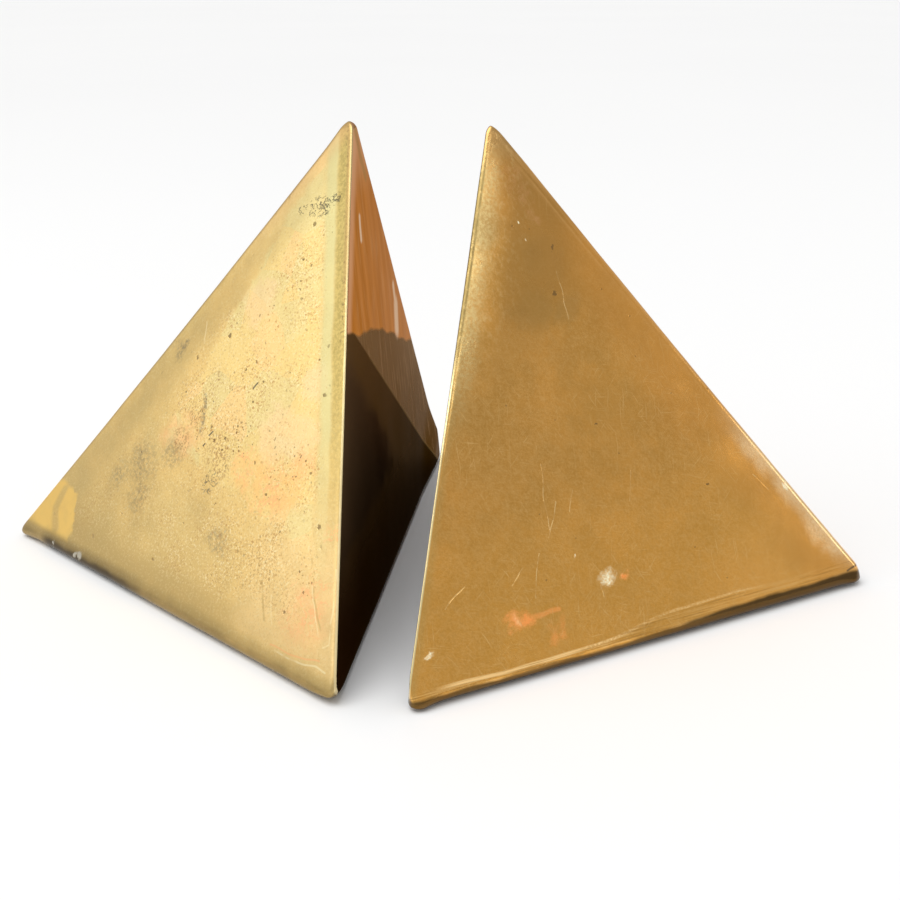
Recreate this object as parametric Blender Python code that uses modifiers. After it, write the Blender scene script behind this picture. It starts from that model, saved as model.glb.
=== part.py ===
"""A pair of cast brass book ends, each a hollow three-sided pyramid with a ballast weight inside.

Metres, +Z up. The origin is on the shelf, midway between the two book ends. +X runs along the row of
books, from the left book end to the right one, and +Y runs from the front of the shelf to its back.
"""

import math

import bmesh
import bpy
from mathutils import Vector

# Outer form of one book end, as sharp corners before its edges are rounded.
FACE_WIDTH = 0.166  # base of the face that meets the books, front corner to back corner
DEPTH = 0.117  # from that base line out to the far tip
HEIGHT = 0.1245  # from the shelf to the apex
LEAN = 0.0092  # how far the apex leans away from the books
EDGE_WIDTH = 0.0018  # across the rounding of an edge, about 1 mm in radius
EDGE_SEGMENTS = 4
BOOK_GAP = 0.0158  # between the two book faces, at their base, with no books

# Layers from the shelf up.
FIT_GAP = 0.0003  # between pieces that touch
FELT_THICKNESS = 0.0012
PLATE_THICKNESS = 0.003
RIM_HEIGHT = 0.0006  # the brass rim clears the shelf, and the felt carries the book end
PLATE_BOTTOM = FELT_THICKNESS + FIT_GAP
PLATE_TOP = PLATE_BOTTOM + PLATE_THICKNESS
INSIDE_BOTTOM = PLATE_TOP + FIT_GAP  # what stands on the plate starts here

# The casting.
WALL = 0.005
LIP = 0.004  # what is left of the wall beside the rebate that the base plate sits in
BOSS_RADIUS = 0.0065
BOSS_HEIGHT = 0.010
BOSS_INSET = {"front": 0.025, "back": 0.025, "tip": 0.020}  # from a base corner, halving its angle

# Fasteners: shank radius, head radius, length.
SCREW = (0.002, 0.004, 0.010)
BOLT = (0.003, 0.006, 0.018)
SOCKET_SHARE = 0.45  # hexagonal socket's radius, as a share of the head's
SOCKET_DEPTH_SHARE = 0.55  # and its depth, as a share of the head's height
POINT_SHARE = 0.5  # length of the tapered point, as a share of the shank's radius
THREAD_END_GAP = 0.001  # from a screw's end to the bottom of its hole

# The ballast.
BALLAST_CLEARANCE = 0.004  # from the inside of the casting
BALLAST_TOP_CUT = 0.020  # its apex is cut off flat this far down
BOSS_CLEARANCE = 0.002  # round the bosses
BALLAST_EDGE = 0.0015

CUT_OVERRUN = 0.002  # a cutter reaches this far past the face that it opens
ROUND_SIDES = 32
SHARP_ANGLE = math.radians(40)
OTHER_SIDE = {"front": "back", "back": "front"}  # a book end turned half round shows its front to the back

# Colour, roughness and metallic value.
BRASS = ((0.72, 0.53, 0.24), 0.28, 1.0)
IRON = ((0.10, 0.10, 0.10), 0.75, 0.6)
STEEL = ((0.45, 0.45, 0.44), 0.4, 1.0)
ZINC = ((0.62, 0.60, 0.52), 0.35, 1.0)
FELT = ((0.035, 0.10, 0.055), 0.95, 0.0)


def clear_scene():
    for obj in list(bpy.data.objects):
        bpy.data.objects.remove(obj, do_unlink=True)


def new_collection(name):
    made = bpy.data.collections.new(name)
    bpy.context.scene.collection.children.link(made)
    return made


def new_material(name, finish):
    color, roughness, metallic = finish
    material = bpy.data.materials.new(name)
    material.use_nodes = True
    shader = material.node_tree.nodes["Principled BSDF"]
    shader.inputs["Base Color"].default_value = (*color, 1.0)
    shader.inputs["Roughness"].default_value = roughness
    shader.inputs["Metallic"].default_value = metallic
    return material


class Bench:
    """Where the pieces of one book end are made: its empty, its side's name and the two collections."""

    def __init__(self, side, place, turn, parts, cutters):
        self.side = side
        self.turned = bool(turn)
        self.parts = parts
        self.cutters = cutters
        self.empty = bpy.data.objects.new(f"{side}_book_end", None)
        self.empty.location = place
        self.empty.rotation_euler.z = turn
        parts.objects.link(self.empty)

    def name(self, piece, corner=""):
        """The piece's full name. A corner is named as it stands on the shelf."""
        if corner:
            corner = "_" + (OTHER_SIDE.get(corner, corner) if self.turned else corner)
        return f"{self.side}_{piece}{corner}"

    def add(self, name, mesh, material=None, place=(0, 0, 0)):
        """A piece with a material, or a cutter without one."""
        obj = bpy.data.objects.new(name, mesh)
        obj.parent = self.empty
        obj.location = place
        if material:
            self.parts.objects.link(obj)
            mesh.materials.append(material)
        else:
            self.cutters.objects.link(obj)
            obj.hide_render = True
            obj.display_type = "WIRE"
        return obj


def cut(obj, cutter):
    modifier = obj.modifiers.new(cutter.name, "BOOLEAN")
    modifier.operation = "DIFFERENCE"
    modifier.solver = "EXACT"
    modifier.object = cutter


def round_edges(obj, width, segments):
    bevel = obj.modifiers.new("rounded_edges", "BEVEL")
    bevel.offset_type = "WIDTH"
    bevel.width = width
    bevel.segments = segments
    bevel.limit_method = "ANGLE"
    bevel.angle_limit = SHARP_ANGLE


def outer_corners():
    """The sharp corners of a book end whose book face stands on the line x = 0, z = 0."""
    return {
        "apex": Vector((-LEAN, 0, HEIGHT)),
        "tip": Vector((-DEPTH, 0, 0)),
        "front": Vector((0, -FACE_WIDTH / 2, 0)),
        "back": Vector((0, FACE_WIDTH / 2, 0)),
    }


def face_plane(first, second, opposite):
    """A point on the face through two base corners and the apex, and the face's outward normal."""
    at = outer_corners()
    normal = (at[second] - at[first]).cross(at["apex"] - at[first]).normalized()
    if normal.dot(at[opposite] - at[first]) > 0:
        normal.negate()
    return at[first], normal


def meeting_point(planes):
    """The point that lies on three planes, each given as a point and a normal."""
    distances = [point.dot(normal) for point, normal in planes]
    a, b, c = (normal for _, normal in planes)
    total = distances[0] * b.cross(c) + distances[1] * c.cross(a) + distances[2] * a.cross(b)
    return total / a.dot(b.cross(c))


def inset_corners(inset, floor):
    """Corners of the smaller pyramid that lies inset inside the three upright faces and stands at floor."""
    faces = [
        face_plane("front", "back", "tip"),
        face_plane("tip", "front", "back"),
        face_plane("back", "tip", "front"),
    ]
    book, front, rear = [(point - normal * inset, normal) for point, normal in faces]
    ground = (Vector((0, 0, floor)), Vector((0, 0, -1)))
    return {
        "apex": meeting_point((book, front, rear)),
        "tip": meeting_point((front, rear, ground)),
        "front": meeting_point((book, front, ground)),
        "back": meeting_point((book, rear, ground)),
    }


def round_about(points, place_of):
    """The points in order of their angle round their own middle."""
    middle = sum((place_of(point) for point in points), Vector()) / len(points)

    def angle(point):
        spoke = place_of(point) - middle
        return math.atan2(spoke.y, spoke.x)

    return sorted(points, key=angle)


def three_sided_mesh(name, low, high):
    """A three-sided cone or prism primitive, moved to three low corners and to one or three high ones."""
    shape = bmesh.new()
    top_radius = 1 if len(high) == 3 else 0
    bmesh.ops.create_cone(shape, cap_ends=True, segments=3, radius1=1, radius2=top_radius, depth=1)
    rings = ([v for v in shape.verts if v.co.z < 0], low), ([v for v in shape.verts if v.co.z > 0], high)
    for verts, places in rings:
        ordered = round_about(verts, lambda vert: vert.co)
        for vert, place in zip(ordered, round_about(places, lambda place: place)):
            vert.co = place
    return finish_mesh(name, shape)


def pyramid_mesh(name, at):
    return three_sided_mesh(name, [at["tip"], at["front"], at["back"]], [at["apex"]])


def prism_mesh(name, outline, low, high):
    """An upright triangular prism between two heights."""
    bottom = [Vector((point.x, point.y, low)) for point in outline]
    top = [Vector((point.x, point.y, high)) for point in outline]
    return three_sided_mesh(name, bottom, top)


def cone_mesh(name, low_radius, high_radius, low, high, sides=ROUND_SIDES):
    """An upright cylinder or cone between two heights."""
    shape = bmesh.new()
    bmesh.ops.create_cone(
        shape, cap_ends=True, segments=sides, radius1=low_radius, radius2=high_radius, depth=high - low
    )
    bmesh.ops.translate(shape, vec=(0, 0, (low + high) / 2), verts=shape.verts)
    return finish_mesh(name, shape)


def finish_mesh(name, shape):
    mesh = bpy.data.meshes.new(name)
    shape.to_mesh(mesh)
    shape.free()
    return mesh


def boss_places():
    """Centres of the three screw bosses."""
    at = outer_corners()
    places = {}
    for corner, inset in BOSS_INSET.items():
        sides = [(at[other] - at[corner]).normalized() for other in BOSS_INSET if other != corner]
        places[corner] = at[corner] + (sides[0] + sides[1]).normalized() * inset
    return places


def bolt_place():
    """The ballast bolt stands at the middle of the base."""
    at = outer_corners()
    return (at["tip"] + at["front"] + at["back"]) / 3


def hole(bench, name, place, radius, low, high):
    return bench.add(name, cone_mesh(name, radius, radius, low, high), place=place)


def make_shell(bench, brass):
    """The casting: a pyramid with rounded edges, hollow from below, with a rebate and bored bosses."""
    name = bench.name("shell")
    at = outer_corners()
    for corner in BOSS_INSET:
        at[corner].z = RIM_HEIGHT
    shell = bench.add(name, pyramid_mesh(name, at), brass)
    round_edges(shell, EDGE_WIDTH, EDGE_SEGMENTS)

    name = bench.name("hollow")
    hollow = bench.add(name, pyramid_mesh(name, inset_corners(WALL, -CUT_OVERRUN)))
    cut(shell, hollow)
    name = bench.name("rebate")
    cut(shell, bench.add(name, prism_mesh(name, opening_outline(0), -CUT_OVERRUN, INSIDE_BOTTOM)))
    for corner, place in boss_places().items():
        name = bench.name("boss", corner)
        boss_top = INSIDE_BOTTOM + BOSS_HEIGHT
        cut(hollow, hole(bench, name, place, BOSS_RADIUS, INSIDE_BOTTOM, boss_top))
        radius, _, length = SCREW
        top = PLATE_BOTTOM + length + THREAD_END_GAP
        cut(shell, hole(bench, bench.name("bore", corner), place, radius + FIT_GAP, 0, top))


def opening_outline(gap):
    """The outline of the casting's rebate, less a gap."""
    at = inset_corners(LIP + gap, 0)
    return [at[corner] for corner in BOSS_INSET]


def make_base_plate(bench, steel):
    """The closing plate, with a countersunk hole for each screw and for the ballast bolt."""
    name = bench.name("base_plate")
    plate = bench.add(name, prism_mesh(name, opening_outline(FIT_GAP), PLATE_BOTTOM, PLATE_TOP), steel)
    holes = [(corner, place, SCREW) for corner, place in boss_places().items()]
    holes.append(("middle", bolt_place(), BOLT))
    for corner, place, (radius, head_radius, _) in holes:
        through = hole(
            bench, bench.name("plate_hole", corner), place, radius + FIT_GAP, 0, PLATE_TOP + CUT_OVERRUN
        )
        name = bench.name("countersink", corner)
        low = PLATE_BOTTOM - CUT_OVERRUN
        high = PLATE_BOTTOM + head_radius - radius
        sink = cone_mesh(name, head_radius + FIT_GAP + CUT_OVERRUN, radius + FIT_GAP, low, high)
        cut(plate, through)
        cut(plate, bench.add(name, sink, place=place))


def make_countersunk(bench, name, place, size, zinc):
    """A countersunk screw, head down and flush with the plate, turned from its profile."""
    radius, head_radius, length = size
    head_height = head_radius - radius
    profile = [
        (0, length),
        (radius * POINT_SHARE, length),
        (radius, length - radius * POINT_SHARE),
        (radius, head_height),
        (head_radius, 0),
        (0, 0),
    ]
    mesh = bpy.data.meshes.new(name)
    edges = [(i, i + 1) for i in range(len(profile) - 1)]
    mesh.from_pydata([(r, 0, z) for r, z in profile], edges, [])
    place = (place.x, place.y, PLATE_BOTTOM)
    screw = bench.add(name, mesh, zinc, place)
    turn = screw.modifiers.new("turned", "SCREW")
    turn.steps = ROUND_SIDES
    turn.render_steps = ROUND_SIDES
    turn.use_merge_vertices = True
    turn.merge_threshold = 0.00001
    turn.use_smooth_shade = True

    name = f"{name}_socket"
    across = head_radius * SOCKET_SHARE
    socket = cone_mesh(name, across, across, -CUT_OVERRUN, head_height * SOCKET_DEPTH_SHARE, sides=6)
    cut(screw, bench.add(name, socket, place=place))


def make_ballast(bench, iron):
    """The weight: a smaller pyramid with a flat top, relieved round the bosses and bored for its bolt."""
    name = bench.name("ballast")
    at = inset_corners(WALL + BALLAST_CLEARANCE, INSIDE_BOTTOM)
    ballast = bench.add(name, pyramid_mesh(name, at), iron)
    high = at["apex"].z
    top_cut = hole(
        bench, bench.name("top_cut"), (0, 0, 0), FACE_WIDTH, high - BALLAST_TOP_CUT, high + CUT_OVERRUN
    )
    cut(ballast, top_cut)
    round_edges(ballast, BALLAST_EDGE, 1)
    for corner, place in boss_places().items():
        top = INSIDE_BOTTOM + BOSS_HEIGHT + BOSS_CLEARANCE
        relief = hole(bench, bench.name("relief", corner), place, BOSS_RADIUS + BOSS_CLEARANCE, 0, top)
        cut(ballast, relief)
    radius, _, length = BOLT
    top = PLATE_BOTTOM + length + THREAD_END_GAP
    cut(ballast, hole(bench, bench.name("bolt_bore"), bolt_place(), radius + FIT_GAP, 0, top))


def make_felt(bench, felt):
    name = bench.name("felt")
    bench.add(name, prism_mesh(name, opening_outline(2 * FIT_GAP), 0, FELT_THICKNESS), felt)


def make_book_end(bench, materials):
    make_shell(bench, materials["brass"])
    make_base_plate(bench, materials["steel"])
    for corner, place in boss_places().items():
        make_countersunk(bench, bench.name("screw", corner), place, SCREW, materials["zinc"])
    make_ballast(bench, materials["iron"])
    make_countersunk(bench, bench.name("ballast_bolt"), bolt_place(), BOLT, materials["zinc"])
    make_felt(bench, materials["felt"])


def main():
    clear_scene()
    parts = new_collection("book_ends")
    cutters = new_collection("cutters")
    finishes = {"brass": BRASS, "iron": IRON, "steel": STEEL, "zinc": ZINC, "felt": FELT}
    materials = {name: new_material(name, finish) for name, finish in finishes.items()}
    for side, x, turn in (("left", -BOOK_GAP / 2, 0), ("right", BOOK_GAP / 2, math.pi)):
        make_book_end(Bench(side, (x, 0, 0), turn, parts, cutters), materials)


main()
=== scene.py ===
"""Looks for a pair of cast brass book ends: fine castings, their patina with painted highlights, reflections
and shade, and a studio.

Metres, +Z up, in the CAD frame. +X runs from the left book end to the right one, and -Y is the front.
"""

import math

import bmesh
import bpy
import numpy as np
from mathutils import Matrix, Vector, noise


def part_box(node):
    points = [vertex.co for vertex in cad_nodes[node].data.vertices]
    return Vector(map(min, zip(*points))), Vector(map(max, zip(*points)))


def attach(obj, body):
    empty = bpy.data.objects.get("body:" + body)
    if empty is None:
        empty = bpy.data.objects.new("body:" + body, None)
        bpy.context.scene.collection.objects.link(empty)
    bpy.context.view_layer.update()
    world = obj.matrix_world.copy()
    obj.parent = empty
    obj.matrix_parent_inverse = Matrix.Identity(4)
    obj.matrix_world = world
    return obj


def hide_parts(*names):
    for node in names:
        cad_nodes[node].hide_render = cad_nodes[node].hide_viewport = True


MM = 0.001

# Camera, in metres and degrees.
CAMERA_PLACE = (0.0523, -0.3202, 0.1587)
CAMERA_TURN = 8.03
CAMERA_PITCH = -21.16
CAMERA_ROLL = -0.36
CAMERA_LENS = 50.1
SENSOR_WIDTH = 36  # mm

# The studio: a soft sky, a wide overhead light, and softboxes as place, size, radiance and colour.
FLOOR_RADIUS = 12
WORLD_LIGHT = (0.60, 0.60, 0.60)
OVERHEAD_LIGHT = 1.5
OVERHEAD_SPREAD = math.radians(50)
OVERHEAD_TURN = (math.radians(12), math.radians(-18), 0)
SOFTBOX_TARGET = (0, 0, 0.05)
SOFTBOXES = {
    "left_softbox": ((-0.85, -0.28, 0.50), (0.7, 0.6), 0.85, (1, 1, 1)),
    "front_softbox": ((0.36, -0.48, 0.80), (0.18, 0.30), 1.9, (1, 1, 1)),
    "ridge_softbox": ((0.95, 0.12, 0.30), (0.15, 0.26), 1.9, (1, 1, 1)),
}

# Grid of the casting's outer skin.
GRID = 190  # cells along each edge of the pyramid
EDGE_CROWDING = 0.35  # spacing of the grid at an edge, as a share of its mean spacing
HALVINGS = 36  # of the stretch of each ray in which the skin lies
RAY_LENGTH = 1.03  # how far each ray goes, as a share of the way to the sharp pyramid

# Finding the CAD casting's faces, and cutting its hollow out of the skin.
SLOPING = (0.02, 0.9)  # upward share of the normal of an outer face
STRAIGHT_DOWN = -0.99
RIM_HEIGHT = 0.01 * MM
CORE_OVERRUN = 2 * MM
WELD = 0.001 * MM
SHARP_ANGLE = math.radians(40)

# How each casting's skin departs from its flat faces and sharp edges.
SHAPES = {
    "left": {
        "pillow": 0.35 * MM,  # how far the middle of an outer face swells
        "grow": (0.0, 0.0, 0.35 * MM),  # book, front and rear face, moved outwards
        "ridge_round": (1.5 * MM, 1.7 * MM),  # edge from the apex to the tip, at its top and its bottom
        "ridge_sag": 0.35 * MM,  # how far that edge hangs in the middle
        "shoulder": 0.0,  # extra fall of the front face towards the upper part of its book edge
        "foot_round": 3.2 * MM,  # height of the rounding at the foot of the outer faces
        "book_foot_round": 2.0 * MM,  # and where it nears the book face
        # how far each corner is cut back from the sharp one
        "blunt": {"apex": 2.6 * MM, "tip": 1.6 * MM, "front": 3.0 * MM, "back": 4.4 * MM},
        "worn_under": 3.0 * MM,  # and the front corner from below
        "flare": 1.0 * MM,  # the foot of the book face stands out at its back corner
        "waves": 0.05 * MM,  # height of the slow unevenness left by filing and polishing
    },
    "right": {
        "pillow": 0.50 * MM,
        "grow": (0.0, 0.0, 0.0),
        "ridge_round": (1.3 * MM, 2.6 * MM),
        "ridge_sag": 0.4 * MM,
        "shoulder": 1.3 * MM,
        "foot_round": 3.2 * MM,
        "book_foot_round": 1.0 * MM,
        "blunt": {"apex": 3.2 * MM, "tip": 4.2 * MM, "front": 3.6 * MM, "back": 4.0 * MM},
        "worn_under": 0.0,
        "flare": 0.0,
        "waves": 0.07 * MM,
    },
}
EDGE_ROUND = 0.7 * MM  # an outer face where it meets the book face
SHOULDER_ROUND = 1.6 * MM  # and how wide that rounding is on the outer face
BLUNT_ROUND = 2.2 * MM
WORN_UNDER_SLOPE = 2.2
SHOULDER_REACH = 11 * MM
SHOULDER_HEIGHTS = (0.35, 0.75)  # where the shoulder sets in and is full, as shares of the height
SWOLLEN_FROM = {"book": 16 * MM, "foot": 12 * MM, "ridge": 14 * MM}  # full swelling, inwards of each edge
SAG_REACH = 20 * MM
FLARE_REACH = (8 * MM, 42 * MM)  # from the back corner: full up to here, and gone from here
FLARE_SQUEEZE = 1.6  # how much faster the flare fades upwards
RIDGE_REACH = 10 * MM  # how far each edge's own rounding reaches over the faces beside it
OUTER_REACH = 9 * MM
BOOK_FOOT_REACH = 8 * MM
WAVE_LENGTHS = ((17 * MM, 1.0), (6 * MM, 0.4))  # of the slow unevenness, each with its share
FLAT = math.cos(math.radians(14))  # how true a facet of the book face stands to it
SEED_STEP = 17.3

FACES = ("book", "front", "rear")


def cad_planes(node):
    """The planes of a casting's three outer faces, each a unit normal and an offset."""
    groups = {}
    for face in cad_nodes[node].data.polygons:
        offset = face.normal.dot(face.center)
        key = tuple(round(value, 2) for value in face.normal) + (round(offset, 4),)
        group = groups.setdefault(key, [0.0, Vector(), 0.0])
        group[0] += face.area
        group[1] += face.normal * face.area
        group[2] += offset * face.area
    planes = {}
    for area, normal, offset in sorted(groups.values(), key=lambda group: group[0]):
        direction = normal.normalized()
        if SLOPING[0] < direction.z < SLOPING[1]:
            side = "front" if direction.y < -0.5 else "rear" if direction.y > 0.5 else "book"
            planes[side] = (direction, offset / area)
    return planes


def meeting_point(planes):
    (a, d_a), (b, d_b), (c, d_c) = planes
    return (d_a * b.cross(c) + d_b * c.cross(a) + d_c * a.cross(b)) / a.dot(b.cross(c))


def pyramid_corners(planes, floor):
    """Apex, tip, front and back corner of the pyramid under three planes, standing at the height floor."""
    ground = (Vector((0, 0, -1)), -floor)
    book, front, rear = (planes[name] for name in FACES)
    return {
        "apex": meeting_point((book, front, rear)),
        "tip": meeting_point((front, rear, ground)),
        "front": meeting_point((book, front, ground)),
        "back": meeting_point((book, rear, ground)),
    }


def smooth(value, low, high):
    """0 below low, 1 above high, and a smooth step between."""
    t = np.clip((value - low) / (high - low), 0, 1)
    return t * t * (3 - 2 * t)


def pyramid_grid(corners):
    """Points and triangles of a sharp pyramid, crowded towards its edges and closed."""
    order = ("apex", "tip", "front", "back")
    at = np.array([corners[name] for name in order])
    middle = at.mean(0)
    steps = np.arange(GRID + 1)
    i, j = np.meshgrid(steps, steps, indexing="ij")
    kept = i + j <= GRID
    weights = np.stack([i[kept], j[kept], GRID - i[kept] - j[kept]], 1) / GRID
    weights = EDGE_CROWDING * weights + (1 - EDGE_CROWDING) * weights**2 * (3 - 2 * weights)
    weights /= weights.sum(1, keepdims=True)
    index = np.full((GRID + 1, GRID + 1), -1)
    index[kept] = np.arange(kept.sum())
    low = kept & (i + j < GRID)
    high = kept & (i + j < GRID - 1)
    triangles = np.concatenate(
        [
            np.stack([index[i[low], j[low]], index[i[low] + 1, j[low]], index[i[low], j[low] + 1]], 1),
            np.stack(
                [index[i[high] + 1, j[high]], index[i[high] + 1, j[high] + 1], index[i[high], j[high] + 1]], 1
            ),
        ]
    )
    points, faces = [], []
    for missing in range(4):
        own = [k for k in range(4) if k != missing]
        patch = weights @ at[own]
        normal = np.cross(at[own[1]] - at[own[0]], at[own[2]] - at[own[0]])
        flipped = normal @ (at[own[0]] - middle) < 0
        faces.append((triangles[:, ::-1] if flipped else triangles) + len(patch) * missing)
        points.append(patch)
    points = np.concatenate(points)
    _, first, index = np.unique(np.round(points, 7), axis=0, return_index=True, return_inverse=True)
    return points[first], index.reshape(-1)[np.concatenate(faces)], middle


def near(depth, reach):
    """1 on a plane, and 0 from reach inside it."""
    return 1 - smooth(-depth, 0, reach)


class Skin:
    """The outer surface of one casting: the level set where rounded and slightly swollen planes meet."""

    def __init__(self, side, planes, floor):
        self.shape = SHAPES[side]
        every = [planes[name] for name in FACES] + [(Vector((0, 0, -1)), -floor)]
        self.normals = np.array([normal for normal, _ in every])
        self.offsets = np.array([offset for _, offset in every])
        self.offsets[:3] += self.shape["grow"]
        self.corners = pyramid_corners(planes, floor)
        self.floor = floor

    def depths(self, points):
        """How far each point lies outside each plane, negative inside."""
        return points @ self.normals.T - self.offsets

    def swollen(self, points):
        """The depths of the planes, swollen where the casting's faces are."""
        shape = self.shape
        depth = self.depths(points)
        book, front, rear, base = depth.T.copy()
        up = (points[:, 2] - self.floor) / self.corners["apex"].z
        inland = (1 - near(book, SWOLLEN_FROM["book"])) * (1 - near(base, SWOLLEN_FROM["foot"]))
        depth[:, 1] -= shape["pillow"] * inland * (1 - near(rear, SWOLLEN_FROM["ridge"]))
        depth[:, 2] -= shape["pillow"] * inland * (1 - near(front, SWOLLEN_FROM["ridge"]))
        falling = np.clip(1 + book / SHOULDER_REACH, 0, 1) ** 2
        depth[:, 1] += shape["shoulder"] * falling * smooth(up, *SHOULDER_HEIGHTS)
        sag = shape["ridge_sag"] * np.clip(4 * up * (1 - up), 0, 1)
        depth[:, 1] += sag * near(rear, SAG_REACH)
        depth[:, 2] += sag * near(front, SAG_REACH)
        back = np.array(self.corners["back"])
        away = np.hypot(points[:, 1] - back[1], FLARE_SQUEEZE * (points[:, 2] - self.floor))
        depth[:, 0] -= shape["flare"] * (1 - smooth(away, *FLARE_REACH))
        return depth

    def level(self, points):
        """Below 0 inside the skin, above 0 outside."""
        depth = self.swollen(points)
        book, front, rear, base = depth.T
        up = np.clip((points[:, 2] - self.floor) / self.corners["apex"].z, 0, 1)
        top, bottom = self.shape["ridge_round"]
        outer = bottom + (top - bottom) * up
        keen = near(front, RIDGE_REACH) * near(rear, RIDGE_REACH)
        foot = self.shape["foot_round"]
        outer = outer + (foot - outer) * near(base, OUTER_REACH) * (1 - keen)
        outer = outer + (EDGE_ROUND - outer) * near(book, OUTER_REACH)
        beside = np.maximum(near(book, BOOK_FOOT_REACH), keen)
        foot = foot + (self.shape["book_foot_round"] - foot) * beside
        rounds = np.stack([np.full_like(book, SHOULDER_ROUND), outer, outer, foot], 1)
        total = (np.maximum(1 + depth / rounds, 0) ** 2).sum(1)
        middle = np.mean([self.corners[name] for name in ("tip", "front", "back")], 0)
        cuts = [(name, inset, 0.0) for name, inset in self.shape["blunt"].items()]
        cuts.append(("front", self.shape["worn_under"], WORN_UNDER_SLOPE))
        for name, inset, dip in cuts:
            corner = np.array(self.corners[name])
            outward = np.array((0, 0, 1)) if name == "apex" else corner - middle
            outward = outward / np.linalg.norm(outward) - (0, 0, dip)
            past = (points - corner) @ outward / np.linalg.norm(outward) + inset
            if inset:
                total += np.maximum(1 + past / BLUNT_ROUND, 0) ** 2
        return total - 1

    def around(self, points, middle):
        """The sharp pyramid's points, moved along their line to the middle onto the skin."""
        rays = RAY_LENGTH * (points - middle)
        low, high = np.zeros(len(points)), np.ones(len(points))
        for _ in range(HALVINGS):
            half = (low + high) / 2
            outside = self.level(middle + rays * half[:, None]) > 0
            high[outside] = half[outside]
            low[~outside] = half[~outside]
        points = middle + rays * low[:, None]
        reach = np.linalg.norm(points - middle, axis=1, keepdims=True)
        return points + (points - middle) / reach * self.waves(points)[:, None]

    def waves(self, points):
        """Slow unevenness left by filing and polishing."""
        height = np.zeros(len(points))
        for length, share in WAVE_LENGTHS:
            height += share * np.array([noise.noise(Vector(point) / length) for point in points])
        return self.shape["waves"] * height


def core_mesh(node, book):
    """The hollow of a CAD casting as a solid of its own, from the casting's inner faces."""
    shape = bmesh.new()
    shape.from_mesh(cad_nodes[node].data)
    bmesh.ops.remove_doubles(shape, verts=shape.verts, dist=WELD)
    top = min(vert.co.z for vert in shape.verts) + RIM_HEIGHT
    low = [face for face in shape.faces if face.calc_center_median().z < top]
    rim = [face for face in low if face.normal.z < STRAIGHT_DOWN]
    bmesh.ops.delete(shape, geom=rim, context="FACES_ONLY")
    normal, _ = book
    seed = max(shape.faces, key=lambda face: normal.dot(face.calc_center_median()))
    skin, fresh = {seed}, [seed]
    while fresh:
        for edge in fresh.pop().edges:
            for face in edge.link_faces:
                if face not in skin:
                    skin.add(face)
                    fresh.append(face)
    bmesh.ops.delete(shape, geom=list(skin), context="FACES")
    mouth = [edge for edge in shape.edges if edge.is_boundary]
    made = bmesh.ops.extrude_edge_only(shape, edges=mouth)["geom"]
    lip = [item for item in made if isinstance(item, bmesh.types.BMVert)]
    bmesh.ops.translate(shape, verts=lip, vec=(0, 0, -CORE_OVERRUN))
    bmesh.ops.holes_fill(shape, edges=[edge for edge in shape.edges if edge.is_boundary])
    bmesh.ops.recalc_face_normals(shape, faces=shape.faces)
    mesh = bpy.data.meshes.new(f"{node}_core")
    shape.to_mesh(mesh)
    shape.free()
    return mesh


def mesh_of(name, points, faces):
    mesh = bpy.data.meshes.new(name)
    mesh.vertices.add(len(points))
    mesh.vertices.foreach_set("co", np.asarray(points, np.float32).ravel())
    mesh.loops.add(faces.size)
    mesh.loops.foreach_set("vertex_index", faces.astype(np.int32).ravel())
    mesh.polygons.add(len(faces))
    mesh.polygons.foreach_set("loop_start", np.arange(0, faces.size, 3, dtype=np.int32))
    mesh.update()
    mesh.validate()
    return mesh


def add_object(name, mesh):
    obj = bpy.data.objects.new(name, mesh)
    bpy.context.scene.collection.objects.link(obj)
    return obj


def hollowed(shell, core):
    """Cuts the core out of the shell and drops it."""
    modifier = shell.modifiers.new("hollow", "BOOLEAN")
    modifier.operation = "DIFFERENCE"
    modifier.solver = "MANIFOLD"
    modifier.object = core
    graph = bpy.context.evaluated_depsgraph_get()
    mesh = bpy.data.meshes.new_from_object(shell.evaluated_get(graph))
    shell.modifiers.clear()
    solid, shell.data = shell.data, mesh
    bpy.data.meshes.remove(solid)
    mesh.name = shell.name
    bpy.data.objects.remove(core)


def make_shell(side, planes, floor, materials):
    """One casting: its skin, hollowed as in the CAD model. Its materials are outer, book and inside."""
    node = f"{side}_shell"
    skin = Skin(side, planes, floor)
    points, faces, middle = pyramid_grid(skin.corners)
    points = skin.around(points, middle)
    mesh = mesh_of(f"{side}_casting", points, faces)
    first, second, third = points[faces].transpose(1, 0, 2)
    normals = np.cross(second - first, third - first)
    level = normals / np.linalg.norm(normals, axis=1, keepdims=True)
    level[:, 2] = skin.normals[0][2]
    book = level @ skin.normals[0] > FLAT * np.linalg.norm(level, axis=1)
    for material in materials:
        mesh.materials.append(material)
    mesh.polygons.foreach_set("material_index", book.astype(np.int32))
    core = core_mesh(node, planes["book"])
    for material in materials:
        core.materials.append(material)
    core.polygons.foreach_set("material_index", np.full(len(core.polygons), 2, np.int32))
    shell = add_object(f"{side}_casting", mesh)
    mesh.shade_smooth()
    hollowed(shell, add_object(f"{side}_core", core))
    shell.data.set_sharp_from_angle(angle=SHARP_ANGLE)
    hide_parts(node)
    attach(shell, f"{side}_book_end")
    return shell


def make_camera():
    camera = bpy.data.objects.new("camera", bpy.data.cameras.new("camera"))
    bpy.context.scene.collection.objects.link(camera)
    turn = Matrix.Rotation(math.radians(CAMERA_TURN), 4, "Z")
    pitch = Matrix.Rotation(math.radians(90 + CAMERA_PITCH), 4, "X")
    roll = Matrix.Rotation(math.radians(CAMERA_ROLL), 4, "Z")
    camera.matrix_world = Matrix.Translation(CAMERA_PLACE) @ turn @ pitch @ roll
    camera.data.lens = CAMERA_LENS
    camera.data.sensor_width = SENSOR_WIDTH
    camera.data.clip_start = 0.01
    bpy.context.scene.camera = camera


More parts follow.
